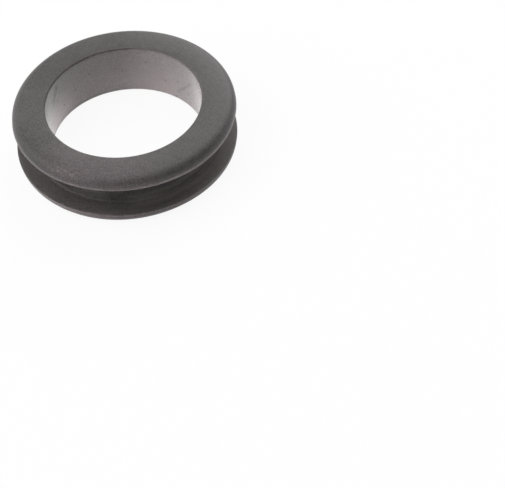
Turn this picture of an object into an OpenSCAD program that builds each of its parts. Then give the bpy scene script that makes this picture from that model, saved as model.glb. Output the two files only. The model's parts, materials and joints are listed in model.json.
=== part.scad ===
// Rubber grommet: a moulded ring with a flange at each end and a deep groove
// between them. The groove snaps into a round hole in a panel, and a cable, hose
// or pipe passes through the bore. The origin is on the bore's axis, half way
// between the flanges, and +Z runs along the bore. Lengths are in millimetres.

/* [Bore] */
// Diameter of the bore
bore_d = 31.75; // [26:0.25:34]
// Radius that rounds both ends of the bore
bore_edge_r = 0.5; // [0.4:0.1:2]

/* [Groove] */
// Diameter of the groove's floor, the size of the panel hole that it seats in
groove_d = 38.1; // [36:0.1:42]
// Width of the groove, the thickness of the panel that it grips
groove_w = 6.8; // [2.5:0.1:12]
// Radius in the two inner corners of the groove
groove_corner_r = 0.5; // [0.2:0.1:1]

/* [Flanges] */
// Outside diameter of both flanges
flange_d = 45.7; // [44.5:0.1:60]
// Thickness of each flange, along the bore
flange_t = 2.6; // [2.5:0.1:6]
// Radius of the shoulder between a flange's flat face and its straight rim
shoulder_r = 2.0; // [0.5:0.1:2.4]

/* [Hidden] */

rubber_colour = [0.40, 0.39, 0.40];
$fn = 144;

bore_r = bore_d / 2;
groove_r = groove_d / 2;
flange_r = flange_d / 2;
height = groove_w + 2 * flange_t;
// How far a cutting shape reaches past the surface that it cuts
over = 1;

// What rounding a square corner with radius r takes away. The corner is at the
// origin, with the solid in the first quadrant.
module corner_waste(r) {
    difference() {
        translate([-over, -over]) square(r + over);
        translate([r, r]) circle(r);
    }
}

// The space of the groove, open outwards, with its two inner corners rounded
module groove_space() {
    difference() {
        translate([groove_r, -groove_w / 2])
            square([flange_r - groove_r + over, groove_w]);
        translate([groove_r, -groove_w / 2]) corner_waste(groove_corner_r);
        translate([groove_r, groove_w / 2]) mirror([0, 1]) corner_waste(groove_corner_r);
    }
}

// What is rounded off one end of the ring: the bore's edge and the flange's shoulder
module end_waste() {
    translate([bore_r, height / 2]) mirror([0, 1]) corner_waste(bore_edge_r);
    translate([flange_r, height / 2]) rotate(180) corner_waste(shoulder_r);
}

// Half of the ring's section, with X out from the axis and Y along the bore
module ring_section() {
    difference() {
        translate([bore_r, -height / 2]) square([flange_r - bore_r, height]);
        groove_space();
        end_waste();
        mirror([0, 1]) end_waste();
    }
}

module grommet() {
    color(rubber_colour) rotate_extrude() ring_section();
}

grommet();
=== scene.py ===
"""Rubber grommet: the looks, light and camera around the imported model. Lengths are in metres."""
import json
import math
import bpy
import numpy as np
from mathutils import Matrix, Vector

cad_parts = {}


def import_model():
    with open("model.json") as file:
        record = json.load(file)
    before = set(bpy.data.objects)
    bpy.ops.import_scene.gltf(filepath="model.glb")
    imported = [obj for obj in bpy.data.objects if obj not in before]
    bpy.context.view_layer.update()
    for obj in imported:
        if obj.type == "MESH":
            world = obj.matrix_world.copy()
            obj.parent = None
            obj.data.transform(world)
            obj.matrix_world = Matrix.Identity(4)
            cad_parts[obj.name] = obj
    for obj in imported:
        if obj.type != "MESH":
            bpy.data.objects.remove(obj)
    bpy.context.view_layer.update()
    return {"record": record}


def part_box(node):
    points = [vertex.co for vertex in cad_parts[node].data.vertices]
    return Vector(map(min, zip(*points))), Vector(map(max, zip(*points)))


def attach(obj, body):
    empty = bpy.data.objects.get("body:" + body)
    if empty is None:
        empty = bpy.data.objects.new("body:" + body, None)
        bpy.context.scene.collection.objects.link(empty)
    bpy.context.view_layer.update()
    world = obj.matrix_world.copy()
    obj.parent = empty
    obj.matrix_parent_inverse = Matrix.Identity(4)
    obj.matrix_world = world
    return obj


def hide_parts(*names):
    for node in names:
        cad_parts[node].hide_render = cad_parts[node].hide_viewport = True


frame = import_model()

MM = 0.001


def in_mm(metres):
    return metres / MM


def direction(azimuth, elevation):
    """A unit vector. Azimuth 0 is at +X and 90 at +Y, in degrees."""
    az, el = math.radians(azimuth), math.radians(elevation)
    return Vector((math.cos(el) * math.cos(az), math.cos(el) * math.sin(az), math.sin(el)))


# ---- Sizes of the ring, from the frame where it has them ----
mount_dims = {m["name"]: m["dims"] for m in frame["record"]["mounts"]}
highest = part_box("grommet")[1]
FLANGE_R = highest.x
HALF_HEIGHT = highest.z
BORE_R = mount_dims["cable_bore"]["r_mm"] * MM
BORE_EDGE_R = HALF_HEIGHT - mount_dims["cable_bore"]["length_mm"] * MM / 2
GROOVE_R = mount_dims["panel_groove"]["r_mm"] * MM
HALF_GROOVE = mount_dims["panel_groove"]["length_mm"] * MM / 2
GROOVE_CORNER_R = 0.5 * MM

# ---- What moulding and handling leave on the ring, too fine for the solid ----
CROWN_TILT = 5.5             # the slightly domed face of a flange leans by so many degrees at its two edges
LIP_DEPTH = 0.09 * MM        # the flash lip on a flange's sharp corner stands out this far from the rim
LIP_HEIGHT = 0.42 * MM
LIP_WEAR = 0.04 * MM         # the most that is worn off the lip
SHOULDER_R = 1.88 * MM       # a little tighter than the solid's, because the rim stands in behind the lip
FLANGE_WAVE = 0.11 * MM      # how far the soft flanges dip out of flat
WAVE_CREST = 248             # azimuth at which the upper flange stands highest
EVEN_SHARE = 0.65            # the share of the upper flange's dip that is one even wave with two crests
RIM_WAVE = 0.04 * MM         # how far the rims are out of round
MOULD_SHIFT = 0.2 * MM       # the lower flange sits off the axis by this much
MOULD_SHIFT_AZIMUTH = 214

# Smooth noise round the ring: the numbers of waves that it mixes, and the seed of their phases
UPPER_DIP = ((3, 5), 1)
LOWER_DIP = ((2, 3, 4), 2)
UPPER_OUT_OF_ROUND = ((2, 3, 4, 7), 3)
LOWER_OUT_OF_ROUND = ((2, 3, 5, 6), 4)
UPPER_LIP_WEAR = ((5, 9, 14, 22, 37), 5)
LOWER_LIP_WEAR = ((4, 9, 13, 25, 34), 6)

# ---- Mesh of the ring ----
SEGMENTS = 576               # steps round the ring
SHARP_ANGLE = 50             # an edge that turns by more degrees than this is sharp

# Steps along each stretch of half the section
WALL_STEPS = 12
BORE_EDGE_STEPS = 10
FACE_STEPS = 14
SHOULDER_STEPS = 20
RIM_STEPS = 3
LIP_STEPS = 6
GROOVE_SIDE_STEPS = 8
GROOVE_CORNER_STEPS = 6
GROOVE_FLOOR_STEPS = 6


def straight(start, end, steps):
    """Points from start up to, but without, end."""
    start, end = np.array(start), np.array(end)
    return [tuple(start + (end - start) * i / steps) for i in range(steps)]


def arc(centre, radii, from_deg, to_deg, steps):
    """Points of a round corner, without its last one. 0 degrees points away from the axis."""
    turns = np.radians(from_deg + (to_deg - from_deg) * np.arange(steps) / steps)
    return [(centre[0] + radii[0] * math.cos(t), centre[1] + radii[1] * math.sin(t)) for t in turns]


def flange_outline():
    """From the middle of the bore wall, over the flange's domed face and shoulder, to the top of its lip."""
    tilt = math.radians(CROWN_TILT)
    rim_r = FLANGE_R - LIP_DEPTH
    edge_r, shoulder_r = BORE_R + BORE_EDGE_R, rim_r - SHOULDER_R
    face_in = edge_r - BORE_EDGE_R * math.sin(tilt)
    face_out = shoulder_r + SHOULDER_R * math.sin(tilt)
    crown_r = (face_out - face_in) / (2 * math.sin(tilt))
    crown = ((face_in + face_out) / 2, HALF_HEIGHT - crown_r)
    face_edge = HALF_HEIGHT - crown_r * (1 - math.cos(tilt))
    wall_top = face_edge - BORE_EDGE_R * math.cos(tilt)
    rim_top = face_edge - SHOULDER_R * math.cos(tilt)
    inner, outer = 90 + CROWN_TILT, 90 - CROWN_TILT
    points = straight((BORE_R, 0.0), (BORE_R, wall_top), WALL_STEPS)
    points += arc((edge_r, wall_top), (BORE_EDGE_R, BORE_EDGE_R), 180, inner, BORE_EDGE_STEPS)
    points += arc(crown, (crown_r, crown_r), inner, outer, FACE_STEPS)
    points += arc((shoulder_r, rim_top), (SHOULDER_R, SHOULDER_R), outer, 0, SHOULDER_STEPS)
    return points + straight((rim_r, rim_top), (rim_r, HALF_GROOVE + LIP_HEIGHT), RIM_STEPS)


def groove_outline():
    """From the top of the flange's lip into the groove, to the middle of its floor."""
    rim_r = FLANGE_R - LIP_DEPTH
    corner_r, corner = GROOVE_R + GROOVE_CORNER_R, HALF_GROOVE - GROOVE_CORNER_R
    points = arc((rim_r, HALF_GROOVE + LIP_HEIGHT / 2), (LIP_DEPTH, LIP_HEIGHT / 2), 90, -90, LIP_STEPS)
    points += straight((rim_r, HALF_GROOVE), (corner_r, HALF_GROOVE), GROOVE_SIDE_STEPS)
    points += arc((corner_r, corner), (GROOVE_CORNER_R, GROOVE_CORNER_R), 90, 180, GROOVE_CORNER_STEPS)
    points += straight((GROOVE_R, corner), (GROOVE_R, 0.0), GROOVE_FLOOR_STEPS)
    return points + [(GROOVE_R, 0.0)]


def section():
    """The whole closed section, as distances from the axis and heights. Its lower half mirrors the upper."""
    upper = flange_outline() + groove_outline()
    lower = [(r, -z) for r, z in reversed(upper[1:-1])]
    return np.array(upper + lower)


def ripple(turns, waves, seed):
    """A closed curve of smooth noise round the ring, from 0 to 1."""
    phases = np.random.default_rng(seed).uniform(0, 2 * np.pi, len(waves))
    total = sum(np.cos(n * turns + phase) for n, phase in zip(waves, phases))
    return 0.5 + 0.5 * total / np.abs(total).max()


def fade(value, low, high):
    """0 up to low, 1 from high, and smooth between."""
    t = np.clip((value - low) / (high - low), 0, 1)
    return t * t * (3 - 2 * t)


def irregular(radius, height, turns):
    """Moves the points of an exact ring a little: dips and waves inwards, and the lower flange aside."""
    upper = height > 0
    reach = fade(radius, GROOVE_R, FLANGE_R)
    on_lip = (np.abs(radius - FLANGE_R) < LIP_DEPTH * 0.9) & (np.abs(height) < HALF_GROOVE + LIP_HEIGHT)
    even_wave = 0.5 - 0.5 * np.cos(2 * (turns - math.radians(WAVE_CREST)))
    upper_dip = (1 - EVEN_SHARE) * ripple(turns, *UPPER_DIP) + EVEN_SHARE * even_wave
    dip = np.where(upper, upper_dip, ripple(turns, *LOWER_DIP))
    inward = np.where(upper, ripple(turns, *UPPER_OUT_OF_ROUND), ripple(turns, *LOWER_OUT_OF_ROUND))
    worn = np.where(upper, ripple(turns, *UPPER_LIP_WEAR), ripple(turns, *LOWER_LIP_WEAR))
    aside = np.where(upper, 0.0, MOULD_SHIFT * np.cos(turns - math.radians(MOULD_SHIFT_AZIMUTH)))
    radius = radius + (aside - RIM_WAVE * inward) * reach - LIP_WEAR * worn * on_lip
    return radius, height - np.sign(height) * FLANGE_WAVE * dip * reach


def revolve(outline, segments):
    """Vertices and quads of the outline turned once round the Z axis, a little uneven."""
    turns = (2 * np.pi * np.arange(segments) / segments)[:, None]
    around = len(outline)
    radius, height = irregular(outline[None, :, 0], outline[None, :, 1], turns)
    vertices = np.stack([np.cos(turns) * radius, np.sin(turns) * radius, height], axis=-1)
    seg, row = np.meshgrid(np.arange(segments), np.arange(around), indexing="ij")
    next_seg, next_row = (seg + 1) % segments, (row + 1) % around
    corners = [(seg, row), (next_seg, row), (next_seg, next_row), (seg, next_row)]
    quads = np.stack([(s * around + r).ravel() for s, r in corners], axis=1)
    return vertices.reshape(-1, 3), quads


def put_in_scene(name, data):
    """A new object of a mesh, lamp or camera."""
    made = bpy.data.objects.new(name, data)
    bpy.context.scene.collection.objects.link(made)
    return made


def ring():
    """The whole moulded ring, as one closed mesh."""
    vertices, quads = revolve(section(), SEGMENTS)
    mesh = bpy.data.meshes.new("moulded_ring")
    mesh.from_pydata(vertices.tolist(), [], quads.tolist())
    mesh.validate()
    mesh.shade_smooth()
    mesh.set_sharp_from_angle(angle=math.radians(SHARP_ANGLE))
    return put_in_scene("moulded_ring", mesh)


# ---- Node tools ----


class Nodes:
    """Short ways to fill one node tree. What each one gives back is the new node's output socket."""

    def __init__(self, tree):
        self.tree = tree

    def put(self, kind, inputs, output=None, **settings):
        """A new node. Each input is a plain value or another node's output."""
        node = self.tree.nodes.new(kind)
        for name, value in settings.items():
            setattr(node, name, value)
        for key, value in inputs.items():
            self.feed(node.inputs[key], value)
        if output is None:
            return next(socket for socket in node.outputs if socket.enabled)
        return node.outputs[output]

    def feed(self, socket, value):
        """Links a socket to another node's output, or sets it to a plain value."""
        if isinstance(value, bpy.types.NodeSocket):
            self.tree.links.new(value, socket)
        else:
            socket.default_value = value

    def split(self, vector):
        """The outputs X, Y and Z of a vector or a colour."""
        node = self.tree.nodes.new("ShaderNodeSeparateXYZ")
        self.tree.links.new(vector, node.inputs[0])
        return node.outputs

    def maths(self, operation, first, second=0.0):
        return self.put("ShaderNodeMath", {0: first, 1: second}, operation=operation)

    def add(self, first, *others):
        for other in others:
            first = self.maths("ADD", first, other)
        return first

    def times(self, first, *others):
        for other in others:
            first = self.maths("MULTIPLY", first, other)
        return first

    def minus(self, first, *others):
        for other in others:
            first = self.maths("SUBTRACT", first, other)
        return first

    def stretch(self, vector, scale):
        return self.put("ShaderNodeVectorMath", {0: vector, 1: scale}, operation="MULTIPLY")

    def scaled(self, vector, amount):
        """A vector made longer, or a colour made paler, by amount."""
        return self.put("ShaderNodeVectorMath", {0: vector, "Scale": amount}, operation="SCALE")

    def along(self, vector, aim):
        """How far a vector reaches in the direction of a unit vector."""
        return self.put("ShaderNodeVectorMath", {0: vector, 1: aim}, "Value", operation="DOT_PRODUCT")

    def distance(self, vector, place):
        return self.put("ShaderNodeVectorMath", {0: vector, 1: place}, "Value", operation="DISTANCE")

    def noise(self, vector, per_unit, detail, roughness):
        inputs = {"Vector": vector, "Scale": per_unit, "Detail": detail, "Roughness": roughness}
        return self.put("ShaderNodeTexNoise", inputs)

    def remap(self, value, low, high, to_low=0.0, to_high=1.0):
        """Smoothly carries low..high over to to_low..to_high, and holds the ends."""
        inputs = {"Value": value, "From Min": low, "From Max": high, "To Min": to_low, "To Max": to_high}
        return self.put("ShaderNodeMapRange", inputs, interpolation_type="SMOOTHSTEP")

    def rise(self, value, limits, start=0.0):
        """0 up to the first of two limits and 1 from the second. The limits count from start."""
        return self.remap(value, start + limits[0], start + limits[1])

    def fall(self, value, limits, start=0.0):
        """1 up to the first of two limits and 0 from the second. The limits count from start."""
        return self.remap(value, start + limits[0], start + limits[1], 1, 0)

    def band(self, value, limits, soft, start=0.0):
        """1 between two limits that count from start, and 0 outside them."""
        rising = self.rise(value, (-soft, soft), start + limits[0])
        falling = self.fall(value, (-soft, soft), start + limits[1])
        return self.times(rising, falling)

    def swing(self, noise, limits, amount):
        """Noise that mostly lies within limits, carried over to -amount..amount."""
        return self.remap(noise, *limits, -amount, amount)

    def blend(self, factor, first, second):
        """The first colour at 0 and the second at 1. Sockets 6 and 7 are a mix node's two colours."""
        return self.put("ShaderNodeMix", {"Factor": factor, 6: first, 7: second}, data_type="RGBA")


# ---- Rubber. From here to the light, lengths are in millimetres ----
RUBBER = (0.0835, 0.0760, 0.0765, 1)
BLOOM_AND_BOUNCE = (0.218, 0.184, 0.184, 1)         # the paler bore wall: partly bloom on its skin, partly painted bounce light from the floor
DUST_AND_PAINTED_LIGHT = (0.109, 0.100, 0.095, 1)          # what settles in the groove, and painted light that lifts the shade there
LIP_HIGHLIGHT = (0.242, 0.207, 0.212, 1)          # painted highlight along the flash lip
LOW_RIM_LIT = (0.140, 0.117, 0.120, 1)       # painted light from the floor on the rim of the lower flange, in a redder tint
PALE_SIDE_COLOUR = (0.160, 0.130, 0.137, 1)        # the outside of the flanges, paler on one side
SCUFF_AND_HIGHLIGHT = (0.170, 0.142, 0.136, 1)         # scrapes and speckles, and the painted highlight along the groove's floor
DIRT_AND_SHADE = (0.030, 0.034, 0.028, 1)          # painted shade round the mouth of the bore and under its edge, and the dirt of the marks on its wall
FACE_ROUGHNESS = 0.38
WALL_ROUGHNESS = 0.24
GROOVE_ROUGHNESS = 0.58
SPECULAR = 0.28
COAT_WEIGHT = 0.95                       # a thin gloss on the bore wall alone
COAT_ROUGHNESS = 0.24
COAT_IOR = 1.65

# Noises through the rubber: how many to the millimetre, detail and roughness
CLOUD = (0.13, 3.0, 0.5)
MOTTLE = (0.9, 4.0, 0.6)
GRAIN = (3.3, 2.0, 0.55)
MARK_DETAIL = (3.0, 0.6)
WIDE, NARROW = (0.3, 0.7), (0.35, 0.65)  # limits that most of a noise lies between

# How far each noise makes the tone uneven, the unevenness of the roughness, and the height of the relief
CLOUD_TONE = 0.06
MOTTLE_TONE = 0.07
GRAIN_TONE = 0.19
ROUGHNESS_SWING = 0.04
GRAIN_RELIEF, MOTTLE_RELIEF, MARK_RELIEF = 0.6, 0.8, 0.4
RELIEF_HEIGHT = 0.02
RELIEF_MARKS = (3.0, 12.0)               # long thin marks: how many to the millimetre, and their length

# The masks of the ring's parts, as the limits between which each one rises or falls.
# Measured from the bore's radius:
WALL_FADE = (0.02, 0.12)
BORE_EDGE_FADE = (0.3, 0.6)
MOUTH_FADE = (0.4, 1.6)
# From the end of the bore:
BORE_EDGE_RISE = (-0.6, -0.3)
MOUTH_RISE = (-1.5, -0.7)
UNDER_EDGE, UNDER_EDGE_SOFT = (-1.15, -0.7), 0.15
# From the radius of the groove's floor:
GROOVE_RISE = (-0.5, -0.3)
FLOOR_FADE = (0.1, 0.5)
ROOT_FADE = (0.4, 2.6)
CORNER_FADE = (0.5, 1.5)
# Up or down from a side of the groove:
SIDE_FADE = (-0.02, 0.02)
LIP_FADE = (0.2, 0.75)
LOW_ROOT_FADE = (0.8, 2.5)
LOW_CORNER_FADE = (0.4, 1.0)
HIGHLIGHT_BAND, HIGHLIGHT_SOFT = (0.78, 0.92), 0.08
# From the radius of the rim:
RIM_RISE = (-0.25, -0.1)
SHOULDER_BAND, SHOULDER_SOFT = (-1.46, -0.26), 0.3
OUTER_RISE = (-3.16, -1.16)
# From the middle of the ring:
HALVES_FADE = (-0.1, 0.1)
LOW_LIP_SHARE = 0.1                      # how much of the upper lip's wear the lower lip has

# Wear, dirt, and painted light and shade. A place is an azimuth and a half width round the ring. A strength
# is how far a place takes on its colour of wear, dirt, painted light or painted shade, and the mottle swings
# it where it has two values
LIP_STRENGTH = (0.75, 1)
PALE_SIDE, PALE_SIDE_STRENGTH = (246, 42), 0.26
SCRAPED_SHOULDER, SCRAPES_STRENGTH = (234, 11), 0.75
SCRAPES, SCRAPES_LIMITS = (6.0, 0.9), (0.5, 0.64)    # as RELIEF_MARKS, and the noise that shows
SPECKLES = (0.9, 0.13, 0.35)             # cells to the millimetre, size, and the share of cells with one
SPECKLE_STRENGTH = 0.5
# painted shade round the bore's mouth at the back left, made uneven by the mottle
SHADED_MOUTH, MOUTH_STRENGTH = (140, 58), (0.02, 0.2)
DARK_LINE, DARK_LINE_STRENGTH = (125, 50), 0.32      # painted shade close under the bore's edge
PALE_EDGE, PALE_EDGE_STRENGTH = (108, 55), 0.35
# where the painted highlight lies along the groove's floor
HIGHLIGHT_ON_GROOVE_FLOOR = (240, 9)
BOUNCE_LIT_END = (171, 47)                  # of the bore wall, with painted bounce light towards its bottom
WORN_COAT, WORN_COAT_HEIGHTS = 0.35, (-4, 5)         # what the coat has lost there at the upper height

# Marks on the bore wall. A place there is an azimuth and a height.
# A line has two ends, a width, and a strength that the mottle swings between two values
LINES = [
    ((144, 5.2), (156, 0.4), 1.1, (0.3, 0.6)),       # a dull streak
    ((44, -4.2), (22, 2.4), 0.6, (0.2, 0.4)),        # a scratch
]
LINE_LIMITS = (0.35, 0.6)                # the mottle where that swing begins and ends
LINE_CORE = 0.6                          # the share of a line that doesn't fade
SPECKS = ((87, -0.1), (68, 2.3), (53, -1.8), (44, -5.2), (41, -0.7), (30, -2.2),
          (113, 1.3), (127, -0.9), (141, -2.1), (146, 3.6), (148, 0.4), (155.5, 2.4))
SPECK_SIZE, SPECK_STRENGTH = 0.38, 0.55
SPECK_CORE = 0.3                         # the share of a speck's size that is wholly dark
MOST_MARKED = 0.9                        # marks that overlap add up to no more than this

# Changes of tone all round a part. 0 leaves the tone as it is, and 0.5 makes the colour 1.5 times as pale
BOTTOM, TOP = in_mm(-HALF_HEIGHT), in_mm(HALF_HEIGHT)
LOW_SIDE = in_mm(-HALF_GROOVE)
WALL_TONE = (0.5, -0.05)                 # at its bottom and at its top: painted bounce light from the floor, paler towards the bottom
# painted shade on the groove's floor
FLOOR_TONE = -0.22
# painted light at the groove's inner end, against the shade there
ROOT_TONE = 0.4

# Painted light and shade: places painted paler or darker to stand for the light and shade there. The part,
# the azimuth and half width, and the change of tone
SHADES = [
    ("wall", 0, 26, 0.5),
    ("wall", 104, 52, -0.17),
    ("bore_edge", 14, 45, 0.2),
    ("bore_edge", 178, 26, -0.25),
    ("groove", 338, 50, 0.5),
    ("groove", 286, 40, -0.1),
    ("groove_floor", 240, 15, 0.28),
    ("low_root", 292, 34, 0.9),
    ("low_root", 229, 32, -0.36),
    ("low_corner", 248, 26, -0.2),
    ("outside", 35, 52, 0.11),
    ("outside", 118, 46, -0.12),
    ("outer_half", 206, 27, -0.16),
    ("lip", 310, 38, 0.22),
    ("low_rim", 212, 46, 0.36),
]

# The same painted light and shade, for tones that go from one value to another between two heights
GRADED_SHADES = [
    # painted bounce light at the left end of the bore wall, paler towards its bottom
    ("wall", *BOUNCE_LIT_END, (BOTTOM, 3), (1.85, -0.25)),
    # painted bounce light on the bore wall at the back right, paler towards its bottom
    ("wall", 60, 30, (BOTTOM, TOP), (0.4, 0.1)),
    # painted shade on the groove's floor at the front, darker towards the upper flange
    ("groove_floor", 260, 72, (LOW_SIDE + 0.1, LOW_SIDE + 1.9), (-0.1, -0.47)),
]


def on_wall(azimuth, height):
    return in_mm(BORE_R) * direction(azimuth, 0) + Vector((0, 0, height))


class Surface:
    """Where a point of the ring is, the noises there, and how far it belongs to each part, from 0 to 1."""

    def __init__(self, nodes):
        self.nodes = nodes
        coordinates = nodes.tree.nodes.new("ShaderNodeTexCoord").outputs["Object"]
        self.point = nodes.scaled(coordinates, 1 / MM)
        self.outward = nodes.stretch(self.point, (1, 1, 0))
        self.radius = nodes.put("ShaderNodeVectorMath", {0: self.outward}, "Value", operation="LENGTH")
        self.z = nodes.split(self.point)["Z"]
        self.height = nodes.maths("ABSOLUTE", self.z)
        self.cloud = nodes.noise(self.point, *CLOUD)
        self.mottle = nodes.noise(self.point, *MOTTLE)
        self.grain = nodes.noise(self.point, *GRAIN)
        self.between_flanges = nodes.fall(self.height, SIDE_FADE, in_mm(HALF_GROOVE))
        self.mask_bore()
        self.mask_groove()
        self.mask_outside()

    def mask_bore(self):
        """The bore wall, the line under its edge, the rounded edge, and the whole mouth with its painted
        shade.
        """
        nodes, bore = self.nodes, in_mm(BORE_R)
        self.wall = nodes.fall(self.radius, WALL_FADE, bore)
        self.under_edge = nodes.times(self.wall, nodes.band(self.height, UNDER_EDGE, UNDER_EDGE_SOFT, TOP))
        self.bore_edge = nodes.times(nodes.rise(self.height, BORE_EDGE_RISE, TOP),
                                     nodes.fall(self.radius, BORE_EDGE_FADE, bore))
        self.mouth = nodes.times(nodes.rise(self.height, MOUTH_RISE, TOP),
                                 nodes.fall(self.radius, MOUTH_FADE, bore))

    def mask_groove(self):
        """All of the groove, its floor, its inner end, the lower half of that, its lower corner, and the
        painted highlight on its floor.
        """
        nodes, floor_r = self.nodes, in_mm(GROOVE_R)
        self.groove = nodes.times(self.between_flanges, nodes.rise(self.radius, GROOVE_RISE, floor_r))
        self.groove_floor = nodes.times(self.groove, nodes.fall(self.radius, FLOOR_FADE, floor_r))
        self.groove_root = nodes.times(self.groove, nodes.fall(self.radius, ROOT_FADE, floor_r))
        self.low_root = nodes.times(self.groove_root, nodes.fall(self.z, LOW_ROOT_FADE, LOW_SIDE))
        self.low_corner = nodes.times(self.low_root, nodes.fall(self.z, LOW_CORNER_FADE, LOW_SIDE),
                                      nodes.fall(self.radius, CORNER_FADE, floor_r))
        self.floor_highlight = nodes.times(self.groove_floor, nodes.band(self.z, HIGHLIGHT_BAND, HIGHLIGHT_SOFT, LOW_SIDE))

    def mask_outside(self):
        """The outside of the flanges, its outer half and its shoulders, the lips and the lower rim."""
        nodes, rim_r = self.nodes, in_mm(FLANGE_R - LIP_DEPTH)
        self.outside = nodes.minus(1.0, self.wall, self.groove)
        self.outer_half = nodes.times(self.outside, nodes.rise(self.radius, OUTER_RISE, rim_r))
        shoulder = nodes.band(self.radius, SHOULDER_BAND, SHOULDER_SOFT, rim_r)
        self.shoulder = nodes.times(self.outside, shoulder)
        rim = nodes.times(nodes.minus(1.0, self.between_flanges), nodes.rise(self.radius, RIM_RISE, rim_r))
        lip_height = nodes.fall(self.height, LIP_FADE, in_mm(HALF_GROOVE))
        share = nodes.remap(self.z, *HALVES_FADE, LOW_LIP_SHARE, 1)
        self.lip = nodes.times(rim, lip_height, share)
        self.low_rim = nodes.times(rim, nodes.fall(self.z, HALVES_FADE))

    def toward(self, azimuth, half_width):
        """1 at the azimuth, and less round the ring, down to 0 at half_width degrees from it."""
        aim = tuple(direction(azimuth, 0))
        cosine = self.nodes.maths("DIVIDE", self.nodes.along(self.outward, aim), self.radius)
        return self.nodes.remap(cosine, math.cos(math.radians(half_width)), 1)

    def round_marks(self, per_mm, length):
        """Noise in long thin marks that run round the ring."""
        nodes = self.nodes
        across = nodes.times(nodes.add(self.radius, self.z), per_mm)
        offset = nodes.put("ShaderNodeCombineXYZ", {"Z": across})
        slow = nodes.stretch(self.point, (1 / length, 1 / length, 0))
        place = nodes.put("ShaderNodeVectorMath", {0: slow, 1: offset}, operation="ADD")
        return nodes.noise(place, 1.0, *MARK_DETAIL)

    def speckles(self, per_mm, size, share):
        """Small round spots, in only a share of the cells of a loose grid."""
        nodes = self.nodes
        inputs = {"Vector": self.point, "Scale": per_mm}
        distance = nodes.put("ShaderNodeTexVoronoi", inputs, "Distance")
        cell = nodes.put("ShaderNodeTexVoronoi", inputs, "Color")
        chosen = nodes.fall(nodes.split(cell)["X"], (-0.01, 0.01), share)
        return nodes.times(chosen, nodes.fall(distance, (size * per_mm / 2, size * per_mm)))

    def offset(self, place, axis):
        """How far a point is from a place, measured along an axis."""
        nodes = self.nodes
        return nodes.maths("ABSOLUTE", nodes.minus(nodes.along(self.point, axis), place.dot(axis)))

    def line(self, start, end, width):
        """A straight mark across the bore wall from one place to another, softer towards its two ends."""
        nodes = self.nodes
        start, end = on_wall(*start), on_wall(*end)
        middle, half = (start + end) / 2, (end - start) / 2
        across = nodes.fall(self.offset(middle, half.cross(middle).normalized()), (0, width))
        within = nodes.fall(self.offset(middle, half.normalized()), (half.length * LINE_CORE, half.length))
        near_side = nodes.rise(nodes.along(self.point, middle.normalized()), (0, 1))
        return nodes.times(across, within, near_side, self.wall)

    def spots(self, places, size):
        """Small round marks on the bore wall."""
        nodes = self.nodes
        distances = [nodes.distance(self.point, on_wall(*place)) for place in places]
        return nodes.add(*(nodes.fall(distance, (size * SPECK_CORE, size)) for distance in distances))


def wall_marks(nodes, at):
    """Dull dark marks on the bore wall, from 0 to 1."""
    marks = nodes.times(at.spots(SPECKS, SPECK_SIZE), SPECK_STRENGTH)
    for start, end, width, strength in LINES:
        line = nodes.times(at.line(start, end, width), nodes.remap(at.mottle, *LINE_LIMITS, *strength))
        marks = nodes.add(marks, line)
    return nodes.maths("MINIMUM", marks, MOST_MARKED)


def parts_colour(nodes, at):
    """The rubber, with bloom and painted bounce light on the bore wall, dust and painted light in the
    groove, a painted highlight on the lips, and painted light on the lower rim.
    """
    colour = nodes.blend(at.wall, RUBBER, BLOOM_AND_BOUNCE)
    colour = nodes.blend(at.groove, colour, DUST_AND_PAINTED_LIGHT)
    colour = nodes.blend(at.low_rim, colour, LOW_RIM_LIT)
    return nodes.blend(nodes.times(at.lip, nodes.remap(at.mottle, *WIDE, *LIP_STRENGTH)), colour, LIP_HIGHLIGHT)


def scuffed(nodes, at, colour):
    """Adds to the outside: a side made paler, a scraped shoulder, and pale speckles all over."""
    colour = nodes.blend(nodes.times(at.outside, at.toward(*PALE_SIDE), PALE_SIDE_STRENGTH), colour, PALE_SIDE_COLOUR)
    scrapes = nodes.remap(at.round_marks(*SCRAPES), *SCRAPES_LIMITS, 0, SCRAPES_STRENGTH)
    colour = nodes.blend(nodes.times(scrapes, at.shoulder, at.toward(*SCRAPED_SHOULDER)), colour, SCUFF_AND_HIGHLIGHT)
    return nodes.blend(nodes.times(at.speckles(*SPECKLES), at.outside, SPECKLE_STRENGTH), colour, SCUFF_AND_HIGHLIGHT)


def soiled_and_shaded(nodes, at, colour, marks):
    """Adds the dirt of the bore wall's marks, painted shade round the bore's mouth and under its edge, a
    paler colour on its edge, and the painted highlight along the groove's floor.
    """
    dirty = nodes.remap(at.mottle, *NARROW, *MOUTH_STRENGTH)
    colour = nodes.blend(nodes.times(at.mouth, at.toward(*SHADED_MOUTH), dirty), colour, DIRT_AND_SHADE)
    colour = nodes.blend(nodes.times(at.under_edge, at.toward(*DARK_LINE), DARK_LINE_STRENGTH), colour, DIRT_AND_SHADE)
    colour = nodes.blend(nodes.times(at.bore_edge, at.toward(*PALE_EDGE), PALE_EDGE_STRENGTH), colour, BLOOM_AND_BOUNCE)
    colour = nodes.blend(marks, colour, DIRT_AND_SHADE)
    return nodes.blend(nodes.times(at.floor_highlight, at.toward(*HIGHLIGHT_ON_GROOVE_FLOOR)), colour, SCUFF_AND_HIGHLIGHT)


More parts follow.
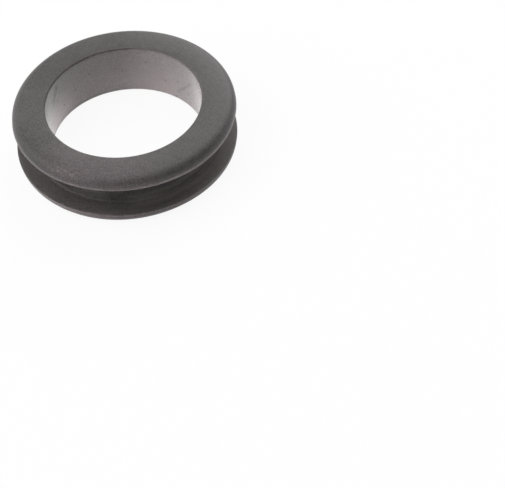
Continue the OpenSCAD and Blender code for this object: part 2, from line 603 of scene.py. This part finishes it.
def tone(nodes, at):
    """How much paler or darker than its plain colour a point is, as a factor: uneven at random, and with
    painted light and shade on the parts.
    """
    total = nodes.add(1.0, nodes.swing(at.cloud, WIDE, CLOUD_TONE))
    total = nodes.add(total, nodes.swing(at.mottle, WIDE, MOTTLE_TONE))
    total = nodes.add(total, nodes.swing(at.grain, NARROW, GRAIN_TONE))
    total = nodes.add(total, nodes.times(at.wall, nodes.remap(at.z, BOTTOM, TOP, *WALL_TONE)))
    total = nodes.add(total, nodes.times(at.groove_floor, FLOOR_TONE))
    total = nodes.add(total, nodes.times(at.groove_root, ROOT_TONE))
    for part, azimuth, half_width, change in SHADES:
        place = nodes.times(getattr(at, part), at.toward(azimuth, half_width))
        total = nodes.add(total, nodes.times(place, change))
    for part, azimuth, half_width, heights, changes in GRADED_SHADES:
        place = nodes.times(getattr(at, part), at.toward(azimuth, half_width))
        total = nodes.add(total, nodes.times(place, nodes.remap(at.z, *heights, *changes)))
    return total


def roughness(nodes, at):
    """Dull in the groove, smoother on the bore wall, and a little uneven all over."""
    unevenness = [nodes.swing(noise, WIDE, ROUGHNESS_SWING) for noise in (at.cloud, at.mottle)]
    wall = nodes.times(at.wall, WALL_ROUGHNESS - FACE_ROUGHNESS)
    groove = nodes.times(at.groove, GROOVE_ROUGHNESS - FACE_ROUGHNESS)
    return nodes.add(FACE_ROUGHNESS, *unevenness, wall, groove)


def coat(nodes, at, marks):
    """The gloss of the bore wall, which its marks and its paler end have lost in part."""
    worn = nodes.times(at.toward(*BOUNCE_LIT_END), nodes.remap(at.z, *WORN_COAT_HEIGHTS, 0, WORN_COAT))
    return nodes.times(at.wall, nodes.minus(COAT_WEIGHT, nodes.maths("MAXIMUM", marks, worn)))


def relief(nodes, at):
    """The fine uneven surface of the rubber."""
    height = nodes.times(at.grain, GRAIN_RELIEF)
    height = nodes.add(height, nodes.times(at.mottle, MOTTLE_RELIEF))
    height = nodes.add(height, nodes.times(at.round_marks(*RELIEF_MARKS), MARK_RELIEF))
    return nodes.put("ShaderNodeBump", {"Height": height, "Strength": 1.0, "Distance": RELIEF_HEIGHT * MM})


def rubber():
    """The one material of the ring. Its parts and places are told apart by radius, height and azimuth."""
    material = bpy.data.materials.new("moulded_rubber")
    material.use_nodes = True
    shader = material.node_tree.nodes["Principled BSDF"].inputs
    nodes = Nodes(material.node_tree)
    at = Surface(nodes)
    marks = wall_marks(nodes, at)
    colour = soiled_and_shaded(nodes, at, scuffed(nodes, at, parts_colour(nodes, at)), marks)
    nodes.feed(shader["Base Color"], nodes.scaled(colour, tone(nodes, at)))
    nodes.feed(shader["Roughness"], roughness(nodes, at))
    nodes.feed(shader["Coat Weight"], coat(nodes, at, marks))
    nodes.feed(shader["Normal"], relief(nodes, at))
    shader["Specular IOR Level"].default_value = SPECULAR
    shader["Coat Roughness"].default_value = COAT_ROUGHNESS
    shader["Coat IOR"].default_value = COAT_IOR
    return material


# ---- Floor, light and camera, in metres again ----
FLOOR_SIZE = 4.0
FLOOR_COLOUR = (0.9, 0.9, 0.9, 1.0)
FLOOR_WHITE = 0.92           # how far rays that look at the floor see plain white instead of its lit colour
AMBIENT = 0.78               # the strength at which the surroundings light the ring
DARK_SIDE = (300, 12)        # azimuth and elevation of the unlit side of the studio
DARK_LEVEL = 0.02
DARK_FADE = (0.1, 0.85)      # cosines of the angle from it at which the light begins and ends to fall
LAMP_DISTANCE = 0.8

CAMERA_DISTANCE = 280.6 * MM
CAMERA_ELEVATION = 43.36
CAMERA_PAN = -4.5            # degrees, to the right
CAMERA_TILT = -5.872         # then down
CAMERA_ROLL = 8.27           # then clockwise about the line of sight
CAMERA_LENS = 96.65
CAMERA_CLIP = (0.01, 20)


def ray_kinds(nodes):
    """Whether a ray comes straight from the camera, and whether gloss or glass has sent it on."""
    path = nodes.tree.nodes.new("ShaderNodeLightPath").outputs
    sent_on = nodes.maths("MAXIMUM", path["Is Glossy Ray"], path["Is Transmission Ray"])
    return path["Is Camera Ray"], sent_on


def floor_material():
    """A pale matt floor that keeps the ring's shadow and looks white to the camera and in reflections."""
    material = bpy.data.materials.new("floor")
    material.use_nodes = True
    material.node_tree.nodes.clear()
    nodes = Nodes(material.node_tree)
    looked_at = nodes.maths("MAXIMUM", *ray_kinds(nodes))
    lit = nodes.put("ShaderNodeBsdfDiffuse", {"Color": FLOOR_COLOUR})
    white = nodes.put("ShaderNodeEmission", {"Strength": 1.0})
    surface = nodes.put("ShaderNodeMixShader", {0: nodes.times(looked_at, FLOOR_WHITE), 1: lit, 2: white})
    nodes.feed(nodes.tree.nodes.new("ShaderNodeOutputMaterial").inputs["Surface"], surface)
    return material


def floor():
    half = FLOOR_SIZE / 2
    corners = [(-half, -half), (half, -half), (half, half), (-half, half)]
    mesh = bpy.data.meshes.new("floor")
    mesh.from_pydata([(x, y, -HALF_HEIGHT) for x, y in corners], [], [(0, 1, 2, 3)])
    mesh.materials.append(floor_material())
    put_in_scene("floor", mesh)


def world():
    """Pale surroundings, darker on one side, which the camera sees as white."""
    studio = bpy.data.worlds.new("studio")
    studio.use_nodes = True
    studio.node_tree.nodes.clear()
    nodes = Nodes(studio.node_tree)
    from_camera, sent_on = ray_kinds(nodes)
    view = nodes.tree.nodes.new("ShaderNodeTexCoord").outputs["Generated"]
    open_sky = nodes.remap(nodes.along(view, tuple(direction(*DARK_SIDE))), *DARK_FADE, 1.0, DARK_LEVEL)
    level = nodes.times(open_sky, nodes.remap(sent_on, 0.0, 1.0, AMBIENT, 1.0))
    level = nodes.maths("MAXIMUM", level, from_camera)
    backdrop = nodes.put("ShaderNodeBackground", {"Color": (1, 1, 1, 1), "Strength": level})
    nodes.feed(nodes.tree.nodes.new("ShaderNodeOutputWorld").inputs["Surface"], backdrop)
    bpy.context.scene.world = studio


def softbox(name, azimuth, elevation, size, power):
    """An area lamp that faces the ring."""
    light = bpy.data.lights.new(name, "AREA")
    light.shape = "RECTANGLE"
    light.size, light.size_y = size
    light.energy = power
    lamp = put_in_scene(name, light)
    lamp.location = LAMP_DISTANCE * direction(azimuth, elevation)
    lamp.rotation_euler = lamp.location.to_track_quat("Z", "Y").to_euler()
    lamp.visible_camera = False


def camera():
    """Looks down at the ring from the front, and is turned so that the ring lies in the upper left."""
    place = CAMERA_DISTANCE * direction(270, CAMERA_ELEVATION)
    back, right = place.normalized(), Vector((1, 0, 0))
    turn = Matrix((right, back.cross(right), back)).transposed()
    for axis, degrees in (("Y", CAMERA_PAN), ("X", CAMERA_TILT), ("Z", -CAMERA_ROLL)):
        turn = turn @ Matrix.Rotation(math.radians(degrees), 3, axis)
    data = bpy.data.cameras.new("camera")
    data.lens = CAMERA_LENS
    data.clip_start, data.clip_end = CAMERA_CLIP
    made = put_in_scene("camera", data)
    made.matrix_world = Matrix.Translation(place) @ turn.to_4x4()
    bpy.context.scene.camera = made


camera()
floor()
world()
softbox("back_right_box", azimuth=56, elevation=32, size=(0.7, 0.5), power=2.4)
softbox("left_box", azimuth=186, elevation=39, size=(1.0, 1.0), power=3.8)
softbox("overhead_box", azimuth=20, elevation=78, size=(0.8, 0.8), power=0.9)

piece = ring()
piece.data.materials.append(rubber())
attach(piece, "root")
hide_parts("grommet")

bpy.context.scene.view_settings.view_transform = "Standard"
